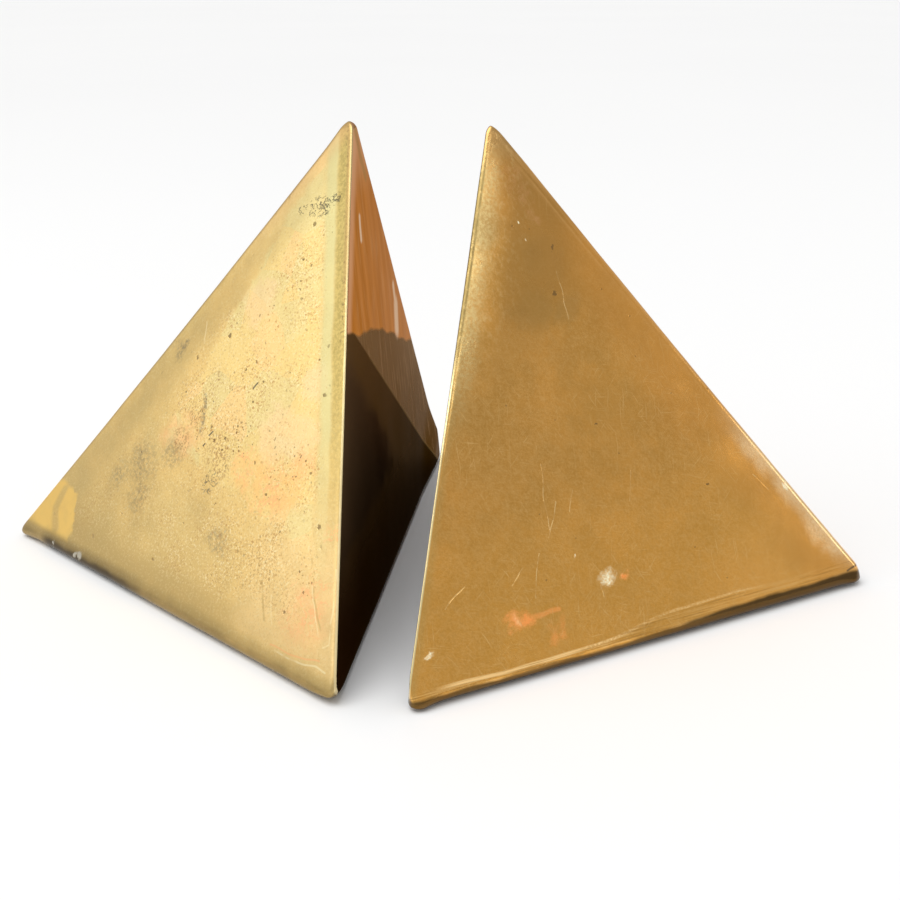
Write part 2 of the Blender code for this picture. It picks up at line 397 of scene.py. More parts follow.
def make_light(name, place, target, size, radiance, color):
    data = bpy.data.lights.new(name, "AREA")
    data.shape = "RECTANGLE"
    data.size, data.size_y = size
    data.energy = radiance * math.pi * size[0] * size[1]
    data.color = color
    light = add_object(name, data)
    light.location = place
    light.rotation_euler = (Vector(target) - Vector(place)).to_track_quat("-Z", "Y").to_euler()
    return light


def make_stage():
    floor_mesh = bpy.data.meshes.new("floor")
    grid = bmesh.new()
    bmesh.ops.create_circle(grid, cap_ends=True, segments=64, radius=FLOOR_RADIUS)
    grid.to_mesh(floor_mesh)
    grid.free()
    floor = add_object("floor", floor_mesh)
    look = Look("floor", roughness=0.9)
    look.color(look.mix(look.noise(900), (0.90, 0.90, 0.90), (0.93, 0.93, 0.925)))
    floor_mesh.materials.append(look.material)
    world = bpy.data.worlds.new("studio")
    bpy.context.scene.world = world
    world.use_nodes = True
    world.node_tree.nodes["Background"].inputs["Color"].default_value = (*WORLD_LIGHT, 1)
    sun = bpy.data.lights.new("overhead", "SUN")
    sun.energy = OVERHEAD_LIGHT
    sun.angle = OVERHEAD_SPREAD
    add_object("overhead", sun).rotation_euler = OVERHEAD_TURN
    for name, (place, size, radiance, color) in SOFTBOXES.items():
        make_light(name, place, SOFTBOX_TARGET, size, radiance, color)


class Look:
    """One material's nodes. Lengths are in millimetres, and most values are the sockets that hold them."""

    def __init__(self, name, roughness=0.5, metallic=0.0, specular_tint=None):
        self.material = bpy.data.materials.new(name)
        self.material.use_nodes = True
        self.tree = self.material.node_tree
        self.shader = self.tree.nodes["Principled BSDF"]
        self.shader.inputs["Roughness"].default_value = roughness
        self.shader.inputs["Metallic"].default_value = metallic
        if specular_tint:
            self.shader.inputs["Specular Tint"].default_value = (*specular_tint, 1)
        self.seed = 0.0
        place = self.tree.nodes.new("ShaderNodeTexCoord").outputs["Object"]
        self.place = self.vector("SCALE", place, scale=1 / MM)

    def put(self, socket, value):
        if isinstance(value, bpy.types.NodeSocket):
            self.tree.links.new(value, socket)
        elif hasattr(value, "__len__") and socket.type == "RGBA":
            socket.default_value = (*value, 1)
        else:
            socket.default_value = value

    def vector(self, operation, *values, scale=None):
        node = self.tree.nodes.new("ShaderNodeVectorMath")
        node.operation = operation
        for socket, value in zip(node.inputs, values):
            self.put(socket, value)
        if scale is not None:
            self.put(node.inputs["Scale"], scale)
        return node.outputs["Value" if operation in ("DOT_PRODUCT", "LENGTH", "DISTANCE") else "Vector"]

    def math(self, operation, *values):
        node = self.tree.nodes.new("ShaderNodeMath")
        node.operation = operation
        for socket, value in zip(node.inputs, values):
            self.put(socket, value)
        return node.outputs["Value"]

    def plus(self, *values):
        total = values[0]
        for value in values[1:]:
            total = self.math("ADD", total, value)
        return total

    def times(self, *values):
        total = values[0]
        for value in values[1:]:
            total = self.math("MULTIPLY", total, value)
        return total

    def either(self, *values):
        total = values[0]
        for value in values[1:]:
            total = self.math("MAXIMUM", total, value)
        return total

    def step(self, value, low, high, bottom=0.0, top=1.0):
        """A smooth step from bottom at low to top at high. High may be the smaller of the two."""
        node = self.tree.nodes.new("ShaderNodeMapRange")
        node.interpolation_type = "SMOOTHSTEP"
        if low > high:
            low, high, bottom, top = high, low, top, bottom
        names = ("Value", "From Min", "From Max", "To Min", "To Max")
        for name, number in zip(names, (value, low, high, bottom, top)):
            self.put(node.inputs[name], number)
        return node.outputs["Result"]

    def shifted(self, vector):
        """The vector, or the place, moved so that each use finds a pattern of its own."""
        self.seed += SEED_STEP
        return self.vector("ADD", self.place if vector is None else vector, (self.seed, 2 * self.seed, 0))

    def noise(self, size, detail=3, rough=0.5, vector=None, color=False):
        """Cloudy noise from 0 to 1 about 0.5, with lumps of about this size."""
        node = self.tree.nodes.new("ShaderNodeTexNoise")
        self.put(node.inputs["Vector"], self.shifted(vector))
        for name, number in (("Scale", 1 / size), ("Detail", detail), ("Roughness", rough)):
            self.put(node.inputs[name], number)
        return node.outputs["Color" if color else "Fac"]

    def cloud(self, size, low, high, bottom=0.0, top=1.0, **kind):
        """Noise, steepened by a step."""
        return self.step(self.noise(size, **kind), low, high, bottom, top)

    def uneven(self, value, amount, size, **kind):
        """The value plus noise of this amount."""
        return self.plus(value, self.times(self.noise(size, **kind), amount))

    def contours(self, size, faint, full, **kind):
        """Thin wandering lines, where noise is near its middle value."""
        from_middle = self.math("ABSOLUTE", self.plus(self.noise(size, **kind), -0.5))
        return self.step(from_middle, faint, full)

    def relief(self, size, shift, **kind):
        """How much noise falls over a shift: above 0 on one flank of its lumps, below 0 on the other."""
        here = self.noise(size, **kind)
        self.seed -= SEED_STEP
        there = self.noise(size, vector=self.vector("ADD", self.place, shift), **kind)
        return self.math("SUBTRACT", here, there)

    def cells(self, size, vector=None):
        """Distance, in cells, to the nearest of some scattered points, and that point's own random number."""
        node = self.tree.nodes.new("ShaderNodeTexVoronoi")
        self.put(node.inputs["Vector"], self.shifted(vector))
        self.put(node.inputs["Scale"], 1 / size)
        return node.outputs["Distance"], self.math("FRACT", self.times(node.outputs["Color"], 7.13))

    def mix(self, factor, first, second):
        node = self.tree.nodes.new("ShaderNodeMix")
        node.data_type = "RGBA"
        self.put(node.inputs["Factor"], factor)
        self.put(node.inputs[6], first)
        self.put(node.inputs[7], second)
        return node.outputs[2]

    def color(self, value):
        self.base = value
        self.put(self.shader.inputs["Base Color"], value)

    def tint(self, color, *amounts):
        """Lays a colour over the base colour, as strongly as the product of the amounts."""
        self.color(self.mix(self.times(*amounts), self.base, color))

    def rough(self, value):
        self.put(self.shader.inputs["Roughness"], value)

    def bump(self, *heights):
        """Bump from several (height, millimetres for a height of 1) pairs."""
        normal = None
        for height, depth in heights:
            node = self.tree.nodes.new("ShaderNodeBump")
            self.put(node.inputs["Height"], height)
            node.inputs["Distance"].default_value = depth * MM
            node.inputs["Strength"].default_value = 1
            if normal:
                self.put(node.inputs["Normal"], normal)
            normal = node.outputs["Normal"]
        self.put(self.shader.inputs["Normal"], normal)

    def on_face(self, corners, along, ragged=1.2):
        """Millimetres u along a face's foot, v up the face and w out of it. Along names the foot's corners.

        Flat holds u and v, and ragged, bent and wobbly are versions of the place that wander more or less.
        """
        start, end = (corners[name] / MM for name in along)
        across = (end - start).normalized()
        rise = corners["apex"] / MM - start
        up = (rise - across * rise.dot(across)).normalized()
        out = across.cross(up)
        self.u, self.v, self.w = (self.along(axis, start.dot(axis)) for axis in (across, up, out))
        self.flat = self.flat_vector(self.u, self.v)
        torn = (9 * ragged, 9 * ragged, 0)
        self.ragged = self.vector("MULTIPLY_ADD", self.wander(7, 4, 0.65), torn, self.flat)
        self.bent = self.vector("MULTIPLY_ADD", self.wander(9, 1), (2.5, 2.5, 0), self.flat)
        self.wobbly = self.vector("MULTIPLY_ADD", self.wander(1.2, 2), (1.2, 1.2, 1.2), self.place)

    def on_casting(self, planes, floor):
        """Millimetres from the ridge, from the book face and above the foot. Here is 1 on the front face."""
        self.from_ridge = self.either(*(self.inside(planes[face]) for face in ("front", "rear")))
        self.from_book = self.inside(planes["book"])
        self.height = self.along((0, 0, 1), floor / MM)
        self.here = self.step(self.math("ABSOLUTE", self.w), 3.6, 1.6)

    def along(self, axis, start):
        """Millimetres along an axis, from start."""
        return self.plus(self.vector("DOT_PRODUCT", self.place, tuple(axis)), -start)

    def inside(self, plane):
        """Millimetres inside a plane."""
        normal, offset = plane
        return self.math("SUBTRACT", offset / MM, self.vector("DOT_PRODUCT", self.place, tuple(normal)))

    def flat_vector(self, x, y):
        node = self.tree.nodes.new("ShaderNodeCombineXYZ")
        self.put(node.inputs["X"], x)
        self.put(node.inputs["Y"], y)
        return node.outputs["Vector"]

    def wander(self, size, detail, rough=0.5):
        """A vector that wanders about 0."""
        noise = self.noise(size, detail=detail, rough=rough, color=True)
        return self.vector("SUBTRACT", noise, (0.5, 0.5, 0.5))

    def hairlines(self, angle, length, width, low=0.66, high=0.74):
        """Sparse straight scratches at an angle on the face, in degrees."""
        turn = math.radians(angle)
        along = self.vector("DOT_PRODUCT", self.bent, (math.cos(turn), math.sin(turn), 0))
        across = self.vector("DOT_PRODUCT", self.bent, (-math.sin(turn), math.cos(turn), 0))
        stretched = self.flat_vector(self.times(along, 1 / length), self.times(across, 1 / width))
        return self.cloud(1, low, high, detail=1, vector=stretched)

    def blotches(self, *spots, soft=0.25):
        """Ragged round spots, each (u, v, radius)."""
        masks = []
        for u, v, radius in spots:
            away = self.vector("DISTANCE", self.ragged, (u, v, 0))
            masks.append(self.step(away, radius, radius * soft))
        return self.either(*masks)

    def strokes(self, width, *paths):
        """Thin curved scratches, each a path of (u, v) points."""
        masks = []
        for first, last in (leg for path in paths for leg in zip(path, path[1:])):
            span = Vector((last[0] - first[0], last[1] - first[1], 0))
            spoke = self.vector("SUBTRACT", self.bent, (*first, 0))
            share = self.times(self.vector("DOT_PRODUCT", spoke, tuple(span)), 1 / span.length_squared)
            share = self.math("MINIMUM", self.math("MAXIMUM", share, 0.0), 1.0)
            nearest = self.vector("SCALE", tuple(span), scale=share)
            away = self.vector("LENGTH", self.vector("SUBTRACT", spoke, nearest))
            masks.append(self.step(away, width, width * 0.3))
        return self.either(*masks)


def satin_brass(name, planes, corners, floor):
    """The left casting's outer faces: bright yellow satin brass, pitted and stained."""
    look = Look(name, metallic=1.0)
    look.on_face(corners, ("tip", "front"))
    look.on_casting(planes, floor)
    satin_ground(look)
    shiver, inner, zone = satin_zones(look)
    patch = satin_grain(look, inner, zone)
    satin_flushes(look, shiver)
    satin_borders(look)
    satin_stains(look)
    satin_tip(look)
    pit = satin_pits(look, inner, zone, patch)
    scratched = satin_scratches(look)
    satin_foot(look)

    grain = look.noise(0.7, rough=0.6)
    rougher = (look.times(zone, 0.08), look.times(pit, 0.25), look.times(grain, 0.08))
    look.rough(look.plus(0.28, *rougher))
    lumps = look.times(look.noise(2.4, detail=4, rough=0.6), look.either(zone, 0.2))
    look.bump(
        (look.noise(14, detail=2), 0.25),
        (lumps, 0.045),
        (look.either(pit, *scratched), -0.14),
        (grain, 0.018),
    )
    return look.material


def satin_ground(look):
    """Slow changes of tone: duller towards the tip and low down, paler at the apex and the front corner."""
    u, height = look.u, look.height
    slow = look.cloud(26, 0.38, 0.62, detail=4)
    look.color(look.mix(slow, (0.74, 0.53, 0.205), (0.84, 0.58, 0.215)))
    dull = look.step(look.uneven(u, 30, 18), 82, 45)
    look.tint((0.62, 0.43, 0.165), dull, 0.06)
    low_down = look.step(look.uneven(look.times(height, 1.4), 34, 22), 46, 26)
    look.tint((0.58, 0.40, 0.15), low_down, look.step(u, 112, 92), 0.60)
    corner = look.times(look.step(u, 96, 110), look.step(height, 45, 25), look.step(height, 3, 9))
    look.tint((1.0, 0.72, 0.34), corner, 0.60)
    look.tint((1.0, 0.80, 0.36), look.step(height, 75, 105, 0.0, 0.40))
    shade = look.cloud(6, 0.38, 0.68, detail=5, rough=0.65)
    look.tint((0.60, 0.43, 0.17), shade, 0.25)


def satin_zones(look):
    """The pitted inner part of the face, and the brighter patchwork on its upper right."""
    u, v, from_book, height = look.u, look.v, look.from_book, look.height
    edge = look.uneven(look.from_ridge, 6, 12)
    inner = look.times(look.step(edge, 10, 20), look.step(from_book, 3, 7), look.step(height, 5, 14))
    zone = look.times(inner, look.cloud(28, 0.34, 0.52))
    zone = look.times(zone, look.step(u, 38, 62, 0.25, 1.0))
    look.tint((0.97, 0.70, 0.28), zone, 0.30)
    shiver = look.times(look.plus(look.noise(5, detail=5, rough=0.65), -0.5), 9)
    bright = look.times(
        look.step(look.plus(u, look.times(v, -0.33), shiver), 39.5, 42.0),
        look.step(look.plus(v, look.times(u, 0.2), shiver), 54.5, 56.5),
        look.step(from_book, 7, 9),
        look.here,
    )
    look.tint((1.0, 0.80, 0.33), bright, 0.34)
    _, tone = look.cells(9, vector=look.bent)
    look.tint((0.76, 0.69, 0.34), look.step(tone, 0.66, 0.69), bright, 0.34)
    look.tint((1.0, 0.66, 0.30), look.step(tone, 0.28, 0.25), bright, 0.40)
    return shiver, inner, zone


def satin_grain(look, inner, zone):
    """Fine light and dark specks, crowded in patches. Gives the patches."""
    light_specks = look.cloud(0.6, 0.54, 0.60, rough=0.6)
    dark_specks = look.cloud(0.55, 0.57, 0.62, rough=0.6)
    patch = look.cloud(15, 0.42, 0.60)
    most = look.times(zone, look.step(patch, 0, 1, 0.6, 1.0))
    rugged = look.either(most, look.times(inner, 0.5), 0.28)
    look.tint((1.0, 0.86, 0.50), light_specks, rugged, 0.60)
    look.tint((0.55, 0.31, 0.10), dark_specks, rugged, 0.65)
    rust = look.cloud(0.6, 0.53, 0.62, rough=0.7)
    look.tint((0.58, 0.34, 0.12), rust, patch, inner, 0.55)
    return patch


def satin_flushes(look, shiver):
    """Pale, orange and pink patches on the front face, and thin pink rings round some of them."""
    here = look.here
    above = look.step(look.plus(look.v, look.times(look.u, 0.2), shiver), 54.0, 55.5)
    pale = look.blotches((98, 55, 9), (106, 57, 8), (76, 86, 8), (104, 70, 6), soft=0.6)
    look.tint((1.0, 0.69, 0.40), pale, here, 0.34)
    uneven = look.cloud(3, 0.36, 0.60, 0.35, 1.0, detail=4, rough=0.65)
    orange = look.blotches((97, 43, 10), (106, 43, 10), (89, 43, 7), soft=0.3)
    look.tint((1.0, 0.57, 0.20), orange, above, uneven, here, 0.58)
    near_pink = look.blotches((64, 47, 9), (57, 45, 6), (126, 17, 11), (110, 50, 6))
    look.tint((0.96, 0.52, 0.23), near_pink, uneven, here, 0.50)
    contour = look.contours(5, 0.024, 0.006, rough=0.55)
    rings = look.blotches((126, 20, 12), (129, 36, 8), (101, 42, 10), (89, 45, 7))
    look.tint((1.0, 0.50, 0.22), contour, rings, here, 0.6)


def satin_borders(look):
    """The strip beside the book face, a painted green reflection band then olive, with its own pits, and the
    ridge's darker lip.
    """
    from_book, from_ridge, height = look.from_book, look.from_ridge, look.height
    stripe = look.plus(from_book, look.times(look.noise(14, detail=2), 3), -1.5)
    # Painted reflection: a green band where the rounded shoulder beside the book face turns.
    painted_green_band = look.times(look.step(stripe, 3.2, 4.6), look.step(stripe, 8.4, 6.2))
    look.tint((0.68, 0.65, 0.32), painted_green_band, look.step(height, 15, 65), 0.65)
    olive = look.times(look.step(stripe, 4.6, 3.2), look.step(height, 20, 75))
    grainy = look.cloud(0.9, 0.38, 0.62, detail=4, rough=0.7)
    look.tint(look.mix(grainy, (0.41, 0.32, 0.10), (0.60, 0.46, 0.15)), olive, 0.83)
    edge_pits = look.cloud(0.9, 0.58, 0.62, rough=0.6)
    edge_pits = look.times(edge_pits, look.step(from_book, 2.6, 1.2), look.step(height, 58, 80))
    look.tint((0.20, 0.14, 0.06), edge_pits, 0.75)
    look.tint((0.80, 0.48, 0.21), look.step(from_ridge, 7, 1), look.step(height, 80, 108), 0.50)
    look.tint((0.56, 0.36, 0.14), look.step(from_ridge, 2.2, 0.4), 0.5)


def satin_stains(look):
    """Grey smears and brown specks."""
    here = look.here
    stain = look.blotches((49, 68, 4.5), (49, 35, 9), (52, 25, 7), (41, 30, 5), (88, 24, 5), (60, 40, 6))
    smear = look.strokes(1.3, ((66.5, 58), (69.5, 49)), ((51.5, 70), (50, 67)))
    speck = look.cloud(1.1, 0.42, 0.58, 0.12, 1.0, detail=5, rough=0.75)
    grey = look.either(look.times(stain, 0.50), look.times(smear, 0.75))
    look.tint((0.28, 0.22, 0.13), grey, speck, here)
    brown = look.blotches((78, 46, 8), (81, 41, 5), (62, 44, 6), (70, 65, 3), (66, 52, 5))
    umber = look.cloud(0.7, 0.50, 0.60, rough=0.6)
    look.tint((0.42, 0.22, 0.08), brown, umber, here, 0.7)


def satin_tip(look):
    """The amber patch on the outer tip, with one pale vein."""
    near_tip = look.plus(look.u, look.times(look.noise(6, detail=4), 13), look.times(look.v, 0.4))
    amber = look.times(look.step(near_tip, 38.5, 36.5), look.step(look.height, 4.0, 6.0), look.here)
    vein = look.strokes(2.2, ((18, 19), (16.5, 13), (19, 7)))
    amber = look.times(amber, look.cloud(5, 0.3, 0.6, 0.78, 1.0))
    amber = look.times(amber, look.plus(1.0, look.times(vein, -0.6)))
    top = look.uneven(look.v, 6, 6, detail=4)
    look.tint((1.0, 0.66, 0.19), amber, look.step(top, 24.5, 22.5))


def satin_pits(look, inner, zone, patch):
    """Casting pits of three sizes, dark where they are deep. Gives the deep ones."""
    height, here = look.height, look.here
    pits = []
    for size, least, share in ((5.5, 0.60, 0.10), (1.9, 0.50, 0.20), (1.15, 0.35, 0.27)):
        away, chance = look.cells(size, vector=look.wobbly)
        reach = look.step(chance, least, 1.0, 0.35 * share, share)
        hole = look.step(look.math("SUBTRACT", away, reach), 0.04, -0.02)
        pits.append(look.times(hole, look.step(chance, least, least + 0.02)))
    large, middling, small = pits
    crowded = look.times(look.either(zone, look.times(inner, 0.5)), look.step(patch, 0, 1, 0.25, 1.0))
    dense = look.blotches((70, 47, 15), (101, 43, 11), (84, 84, 13), (122, 24, 8), (80, 64, 10), soft=0.1)
    sparse_low = look.step(height, 16, 34, 0.35, 1.0)
    crowded = look.either(look.times(crowded, sparse_low), look.times(dense, here))
    look.tint((0.56, 0.29, 0.095), small, crowded, 0.85)
    core = look.blotches((86, 50, 8), (83, 45, 5), (82, 34, 3), soft=0.1)
    look.tint((0.22, 0.13, 0.05), look.either(small, middling), core, here, 0.85)
    pit = look.either(look.times(large, look.either(inner, 0.2)), look.times(middling, crowded))
    look.tint((0.22, 0.14, 0.06), pit, 0.75)
    return pit


def satin_scratches(look):
    """Worm tracks, nicks, bright lines and creases at the front corner, and there a painted highlight line on
    top of the foot rounding with a painted orange reflection line above it. Gives the first two.
    """
    here = look.here
    worm_at = look.blotches((87, 113, 3.4), (91, 115.5, 2.2), (81, 112.5, 2.2), (79.5, 37.4, 3.2), soft=0.6)
    worm = look.times(look.contours(1.5, 0.030, 0.010), worm_at, here)
    look.tint((0.13, 0.12, 0.09), worm, 0.8)
    cuts = (((85, 66), (83.9, 64.4)), ((73.6, 50.4), (72.8, 49)), ((72.4, 46.4), (71.9, 45.6)))
    nicks = look.strokes(0.32, *cuts)
    look.tint((0.10, 0.10, 0.085), nicks, here, 0.85)
    lines = (
        ((130.5, 30), (133.3, 21), (134.9, 13), (133.4, 11.6)),
        ((124.8, 24), (130.9, 14)),
        ((113, 18), (116.5, 10)),
        ((60, 70), (57, 77)),
    )
    line_breakup = look.cloud(3, 0.36, 0.56, detail=4)
    look.tint((1.0, 0.80, 0.42), look.strokes(0.34, *lines), here, line_breakup, 0.75)
    # Painted highlight on the top of the foot rounding near the front corner, with a painted orange
    # reflection line just above it.
    painted_corner_highlight = look.strokes(0.36, ((119, 6.2), (128, 6.3), (137, 7.2)))
    look.tint((1.0, 0.84, 0.48), painted_corner_highlight, here, look.step(line_breakup, 0, 1, 0.4, 1.0), 0.65)
    beside = look.strokes(0.34, ((117, 7.2), (126, 7.4), (134, 8.4)))
    look.tint((1.0, 0.52, 0.22), beside, here, 0.60)
    creases = look.strokes(0.5, ((122, 30), (127, 21), (132.5, 14)), ((108, 20), (113, 12)))
    look.tint((0.60, 0.40, 0.15), creases, here, line_breakup, 0.55)
    return worm, nicks


def satin_foot(look):
    """Painted shade along the foot, a dark reflection of shaded floor, darkest near the tip, scuffs in it,
    and a painted highlight along the edge beside the book face, painted darker near its top.
    """
    u, from_book, height = look.u, look.from_book, look.height
    # Painted shade along the foot: a dark reflection of shaded floor, darkest near the tip.
    lifted = look.uneven(height, 1.5, 8, detail=2)
    shade_breakup = look.cloud(5, 0.35, 0.65, 0.25, 0.75, detail=4)
    shade_to_tip = look.step(look.uneven(u, 20, 11), 88, 58)
    deeper_shade = look.either(look.times(shade_breakup, 0.7), shade_to_tip)
    painted_foot_shade = look.mix(deeper_shade, (0.26, 0.18, 0.07), (0.085, 0.062, 0.034))
    foot = look.plus(look.step(lifted, 7.4, 4.4, 0.0, 0.42), look.step(lifted, 4.8, 3.0, 0.0, 0.50))
    look.tint(painted_foot_shade, foot, look.step(shade_to_tip, 0, 1, 0.80, 1.1), look.either(look.step(u, 8, 18), 0.5))
    scuff = look.blotches((21, 3.4, 1.0), (31, 3.3, 1.3), (33, 3.0, 1.5), soft=0.2)
    look.tint((0.62, 0.58, 0.48), scuff, look.here, 0.8)
    # Painted highlight along the edge beside the book face, and painted shade over it near the top.
    look.tint((1.0, 0.84, 0.48), look.step(from_book, 0.75, 0.4), 0.7)
    look.tint((0.42, 0.28, 0.11), look.step(from_book, 1.8, 1.1), look.step(height, 70, 95), 0.75)


def amber_brass(name, planes, corners, floor):
    """The right casting's outer faces: polished brass gone amber, with olive clouds and fine scratches."""
    look = Look(name, metallic=1.0)
    look.on_face(corners, ("tip", "front"))
    look.on_casting(planes, floor)
    fine = amber_ground(look)
    olive = amber_clouds(look, fine)
    speckle, painted_sheen = amber_borders(look)
    scratch, streak, brushed = amber_scratches(look)
    glow = amber_glints(look)
    painted_crest_line = amber_belt(look, speckle)
    spots = amber_specks(look)
    amber_foot(look)
    here = look.here
    # Metallic lowered under the painted glints, crest line and sheen, to make them brighter.
    matte_painted_light = look.either(look.times(glow, here), look.times(painted_crest_line, 0.8), look.times(painted_sheen, 0.14))
    look.put(look.shader.inputs["Metallic"], look.plus(1.0, look.times(matte_painted_light, -0.9)))

    grain = look.noise(0.5, rough=0.6)
    smear = look.cloud(12, 0.35, 0.65, 0.0, 0.10)
    look.rough(look.plus(0.17, smear, look.times(brushed, 0.10), look.times(olive, here, 0.08)))
    look.bump(
        (look.noise(11), 0.16),
        (look.noise(2.5), 0.02),
        (look.either(scratch, spots), -0.03),
        (look.times(streak, brushed), 0.012),
        (grain, 0.004),
    )
    return look.material


def amber_ground(look):
    """Slow changes of tone, warmer low down and towards the tip, fine grain, and painted light and shade on
    the flanks of fine lumps. Gives the grain.
    """
    slow = look.cloud(34, 0.36, 0.62)
    look.color(look.mix(slow, (0.67, 0.345, 0.080), (0.78, 0.385, 0.084)))
    mottle = look.cloud(13, 0.40, 0.60, detail=5, rough=0.6)
    look.tint((0.53, 0.28, 0.062), mottle, 0.42)
    look.tint((0.96, 0.47, 0.078), look.step(look.height, 48, 14, 0.0, 0.42))
    fine = look.cloud(1.8, 0.40, 0.64, detail=4, rough=0.65)
    look.tint((0.86, 0.52, 0.18), fine, 0.20)
    # Painted light and shade: one flank of each fine lump lighter, the other darker.
    relief = look.relief(0.7, (0.18, 0.0, 0.20), rough=0.7)
    look.tint((0.94, 0.60, 0.23), look.step(relief, 0.00, 0.12, 0.0, 0.17))
    look.tint((0.46, 0.25, 0.06), look.step(relief, 0.00, -0.12, 0.0, 0.17))
    warm = look.plus(look.u, look.v, look.times(look.noise(20), 40))
    look.tint((1.0, 0.51, 0.125), look.step(warm, 100, 50, 0.0, 0.55))
    return fine


def amber_clouds(look, fine):
    """Olive, orange and rosy clouds, a band of painted shade beside the book face, and a darker top. Gives
    the olive ones.
    """
    here, from_book, height = look.here, look.from_book, look.height
    olive = look.blotches((82, 101, 10), (88, 88, 8), (78.5, 86.5, 6), (96, 112, 8))
    look.tint((0.38, 0.25, 0.085), olive, here, 0.42)
    dulled = look.blotches((73, 61, 20), (24, 15, 13), soft=0.0)
    look.tint((0.58, 0.31, 0.070), dulled, here, 0.45)
    orange = look.blotches((48, 72, 14), (56, 84, 11), (38, 58, 12), (40, 38, 14), soft=0.0)
    look.tint((0.86, 0.44, 0.10), orange, here, 0.5)
    flushed = look.uneven(look.from_ridge, 14, 16)
    look.tint((0.78, 0.345, 0.070), look.step(flushed, 30, 12), 0.45)
    # Painted shade: a band beside the book face, high up.
    painted_shade_band = look.times(look.step(from_book, 6, 11), look.step(from_book, 30, 18))
    look.tint((0.50, 0.26, 0.065), painted_shade_band, look.step(height, 60, 85), 0.6)
    look.tint((0.50, 0.27, 0.075), look.step(height, 88, 116), look.step(from_book, 3, 8), 0.50)
    rosy = look.blotches((86, 122, 4), (84, 117, 4), (81, 112, 3), soft=0.2)
    look.tint((0.80, 0.42, 0.17), rosy, fine, here, 0.45)
    return olive


def amber_borders(look):
    """A painted highlight band and a rim with painted highlight and painted shade beside the book face, a
    painted highlight along the ridge and a painted sheen beside it, and the brown apex.

    Gives the speckle that breaks them up, and the painted sheen.
    """
    from_book, from_ridge, height = look.from_book, look.from_ridge, look.height
    look.tint((0.55, 0.43, 0.16), look.step(from_book, 3.0, 1.0), 0.25)
    # Painted highlight band beside the upper book edge, broken up by speckle.
    highlight_band_width = look.uneven(from_book, 5, 5, detail=4, rough=0.7)
    painted_highlight_band = look.times(look.step(highlight_band_width, 9.5, 5), look.step(height, 48, 76))
    speckle = look.cloud(0.8, 0.40, 0.60, 0.35, 1.0, detail=4, rough=0.7)
    look.tint((0.84, 0.66, 0.30), painted_highlight_band, look.step(height, 120, 108), speckle, 0.74)
    # Painted highlight along the rim beside the book face, bright low down, dark higher up and a little
    # lighter at the top; then painted shade dimming that edge higher up.
    rim_glow = look.either(look.step(height, 74, 60), look.step(height, 98, 108, 0.0, 0.30))
    rim_color = look.mix(rim_glow, (0.27, 0.20, 0.08), (0.98, 0.80, 0.42))
    look.tint(rim_color, look.step(from_book, 0.7, 0.4))
    painted_dim_edge = look.times(look.step(from_book, 1.7, 1.0), look.step(height, 64, 80))
    look.tint((0.29, 0.21, 0.075), painted_dim_edge, look.step(height, 118, 110), 0.85)
    # Painted highlight along the ridge: a thin line on it and streaks beside it.
    ridgewise = look.flat_vector(from_ridge, look.times(height, 0.03))
    painted_ridge_highlight = look.cloud(0.9, 0.40, 0.60, rough=0.6, vector=ridgewise)
    painted_ridge_highlight = look.times(painted_ridge_highlight, look.step(from_ridge, 4.5, 1.5), 0.55)
    look.tint((1.0, 0.57, 0.21), look.plus(look.step(from_ridge, 1.0, 0.4, 0.0, 0.4), painted_ridge_highlight))
    # Painted sheen: a pale band beside the ridge, low down towards the tip.
    painted_sheen = look.step(look.uneven(from_ridge, 8, 7, detail=4), 12, 6)
    painted_sheen = look.times(painted_sheen, look.step(height, 52, 34), look.step(height, 3, 10), look.here)
    look.tint((1.0, 0.69, 0.36), painted_sheen, look.step(speckle, 0, 1, 0.55, 1))
    look.tint((0.46, 0.29, 0.11), look.step(height, 110, 117), 0.70)
    return speckle, painted_sheen


def amber_scratches(look):
    """Single bright scratches, and upright brushing beside the book face. Gives both."""
    cuts = (
        ((78.8, 96), (78.5, 84)),
        ((95, 50), (97, 34)),
        ((93, 40), (98, 32)),
        ((101.2, 29), (103.9, 19)),
        ((106.5, 26), (110, 22.6)),
        ((70, 44), (72.5, 36)),
        ((88, 42), (90, 37)),
        ((122, 26), (128, 21)),
        ((86, 17.5), (86, 14.5)),
        ((33, 36), (29, 31)),
    )
    broken = look.cloud(2.5, 0.38, 0.58, 0.25, 1.0)
    scratch = look.times(look.strokes(0.15, *cuts), look.here, broken)
    look.tint((0.98, 0.70, 0.34), scratch, 0.6)
    along = look.vector("MULTIPLY", look.place, (1.0, 1.0, 0.05))
    streak = look.cloud(0.9, 0.50, 0.68, rough=0.6, vector=along)
    brushed = look.times(look.step(look.from_book, 18, 5), look.step(look.height, 55, 80))
    look.tint((0.90, 0.64, 0.28), streak, brushed, 0.25)
    return scratch, streak, brushed


